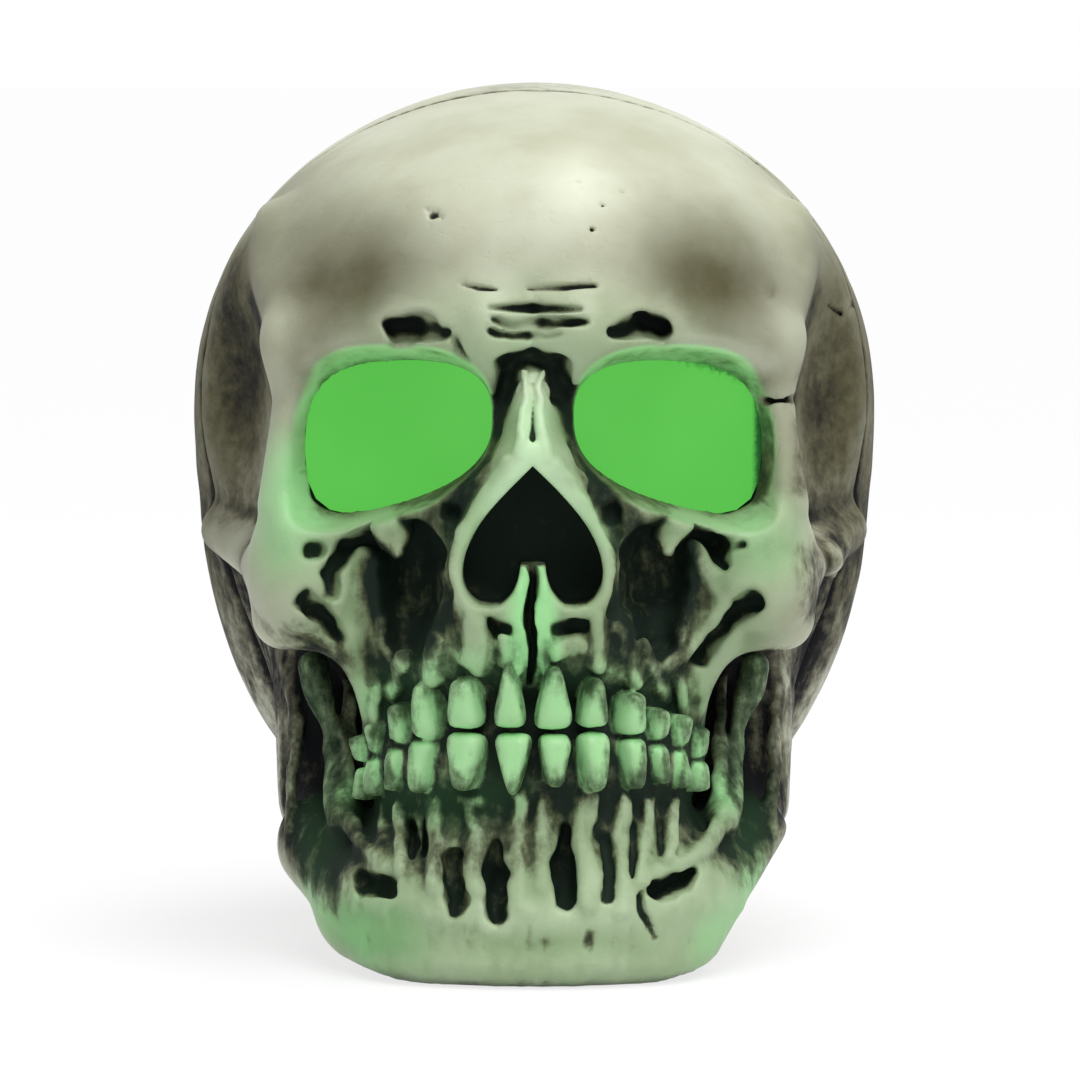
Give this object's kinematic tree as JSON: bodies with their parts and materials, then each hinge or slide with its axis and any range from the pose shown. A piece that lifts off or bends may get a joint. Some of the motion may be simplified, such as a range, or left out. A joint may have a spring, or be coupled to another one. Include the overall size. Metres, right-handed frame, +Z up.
{
  "type": "light-up skull decoration",
  "caption": "Hollow moulded skull in two glued shells with green lit eye lenses, moulded teeth, and a base plate with a battery door and a slide switch.",
  "frame": {"origin": "centre of the bounding box on the plane that the skull stands on", "axes": "+Z up, the face looks along -Y, +X towards the right in a front view"},
  "size_m": [0.1356, 0.1485, 0.1699],
  "materials": {
    "bone": "painted and washed bone",
    "green_lens": "translucent green",
    "black_plastic": "fine matt",
    "board": "bare laminate",
    "steel": "plated",
    "cell_jacket": "printed film",
    "resistor": "lacquer",
    "wire_red": "plain",
    "wire_black": "plain",
    "wire_white": "plain"
  },
  "bodies": {
    "skull": {"front_shell": "bone", "rear_shell": "bone", "eye_lens_left": "green_lens", "eye_lens_right": "green_lens", "lamp_board": "board", "led_left": "green_lens", "led_right": "green_lens", "resistor": "resistor", "lamp_board_screw_1": "steel", "lamp_board_screw_2": "steel", "base_plate": "black_plastic", "base_screw_1": "steel", "base_screw_2": "steel", "base_screw_3": "steel", "base_screw_4": "steel", "battery_cell_1": "cell_jacket", "battery_cell_2": "cell_jacket", "battery_cell_3": "cell_jacket", "contact_positive": "steel", "contact_bridge_front": "steel", "contact_bridge_rear": "steel", "contact_negative": "steel", "switch_body": "black_plastic", "lead_positive": "wire_red", "lead_switched": "wire_white", "lead_negative": "wire_black"},
    "door": {"battery_door": "black_plastic"},
    "door_screw": {"battery_door_screw": "steel"},
    "slider": {"switch_slider": "black_plastic"}
  },
  "joints": [
    {"name": "battery_door_hinge", "type": "hinge", "parent": "skull", "child": "door", "pos_m": [0, -0.0265, 0.0014], "axis": [-1, 0, 0], "range_deg": [0, 90]},
    {"name": "battery_door_screw_turn", "type": "hinge", "parent": "door", "child": "door_screw", "pos_m": [0, 0.0301, 0.0014], "axis": [0, 0, 1], "continuous": true},
    {"name": "switch_slide", "type": "slide", "parent": "skull", "child": "slider", "axis": [1, 0, 0], "range_m": [0, 0.003]}
  ]
}
